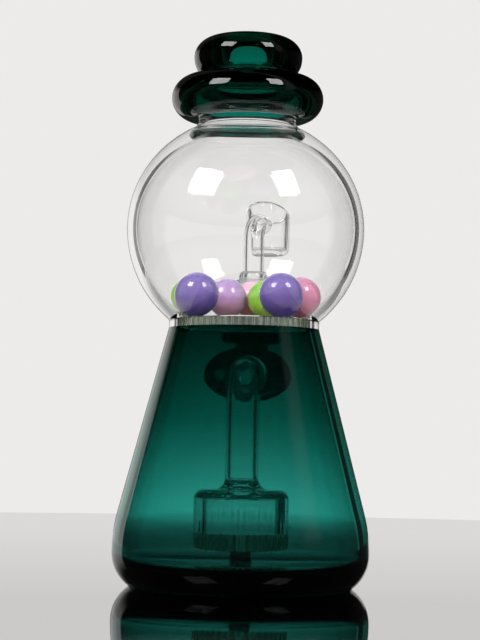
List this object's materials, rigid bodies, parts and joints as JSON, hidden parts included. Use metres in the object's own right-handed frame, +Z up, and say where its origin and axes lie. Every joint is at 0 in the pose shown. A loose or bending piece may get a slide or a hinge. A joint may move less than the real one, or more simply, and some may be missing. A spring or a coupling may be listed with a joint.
{
  "type": "glass water pipe",
  "caption": "Glass water pipe shaped like a gumball machine: teal cone with a percolator, clear globe of loose marbles, ringed lid as mouthpiece, and a lift-out quartz banger at the rear.",
  "frame": {"origin": "centre of the flat foot, on the surface that it stands on", "axes": "+Z up along the axis of the body, +Y to the rear where the joint and banger stand, -Y the front that the picture shows"},
  "size_m": [0.1102, 0.1517, 0.2371],
  "materials": {
    "teal_glass": "fire-polished, coloured through",
    "clear_glass": "fire-polished borosilicate",
    "quartz": "fire-polished clear quartz",
    "frosted_quartz": "ground taper, frosted",
    "purple_marble": "opaque glossy glass",
    "green_marble": "opaque glossy glass",
    "lilac_marble": "opaque glossy glass",
    "pink_marble": "opaque glossy glass",
    "pale_pink_marble": "opaque glossy glass"
  },
  "bodies": {
    "glass_body": {"base_cone": "teal_glass", "percolator_post": "clear_glass", "percolator_cup": "clear_glass", "percolator_can": "clear_glass", "downstem": "clear_glass", "stem_seal": "clear_glass", "joint_flare": "teal_glass", "joint_elbow": "teal_glass", "joint_collar": "teal_glass", "joint_socket": "clear_glass", "slitted_disc": "clear_glass", "globe": "clear_glass", "neck": "clear_glass", "lid_brim": "teal_glass", "lid_crown": "teal_glass"},
    "banger": {"banger_taper": "frosted_quartz", "banger_arm": "quartz", "banger_bucket": "quartz"},
    "ball_purple_right": {"marble_purple_right": "purple_marble"},
    "ball_purple_left": {"marble_purple_left": "purple_marble"},
    "ball_green_left": {"marble_green_left": "green_marble"},
    "ball_green_middle": {"marble_green_middle": "green_marble"},
    "ball_lilac": {"marble_lilac": "lilac_marble"},
    "ball_pink_right": {"marble_pink_right": "pink_marble"},
    "ball_pink_rear": {"marble_pink_rear": "pale_pink_marble"}
  },
  "joints": [
    {"name": "banger_lift", "type": "slide", "parent": "glass_body", "child": "banger", "axis": [0, 0, 1], "range_m": [0, 0.045]},
    {"name": "roll_purple_right", "type": "hinge", "parent": "glass_body", "child": "ball_purple_right", "pos_m": [0, 0, 0.1245], "axis": [0, 0, 1], "continuous": true},
    {"name": "roll_purple_left", "type": "hinge", "parent": "glass_body", "child": "ball_purple_left", "pos_m": [0, 0, 0.1245], "axis": [0, 0, 1], "continuous": true},
    {"name": "roll_green_left", "type": "hinge", "parent": "glass_body", "child": "ball_green_left", "pos_m": [0, 0, 0.1245], "axis": [0, 0, 1], "continuous": true},
    {"name": "roll_green_middle", "type": "hinge", "parent": "glass_body", "child": "ball_green_middle", "pos_m": [0, 0, 0.1245], "axis": [0, 0, 1], "continuous": true},
    {"name": "roll_lilac", "type": "hinge", "parent": "glass_body", "child": "ball_lilac", "pos_m": [0, 0, 0.1245], "axis": [0, 0, 1], "continuous": true},
    {"name": "roll_pink_right", "type": "hinge", "parent": "glass_body", "child": "ball_pink_right", "pos_m": [0, 0, 0.1245], "axis": [0, 0, 1], "continuous": true},
    {"name": "roll_pink_rear", "type": "hinge", "parent": "glass_body", "child": "ball_pink_rear", "pos_m": [0, 0, 0.1245], "axis": [0, 0, 1], "continuous": true}
  ],
  "couplings": [
    {"joint": "roll_purple_left", "follows": "roll_purple_right", "ratio": 1},
    {"joint": "roll_green_left", "follows": "roll_purple_right", "ratio": 1},
    {"joint": "roll_green_middle", "follows": "roll_purple_right", "ratio": 1},
    {"joint": "roll_lilac", "follows": "roll_purple_right", "ratio": 1},
    {"joint": "roll_pink_right", "follows": "roll_purple_right", "ratio": 1},
    {"joint": "roll_pink_rear", "follows": "roll_purple_right", "ratio": 1}
  ]
}
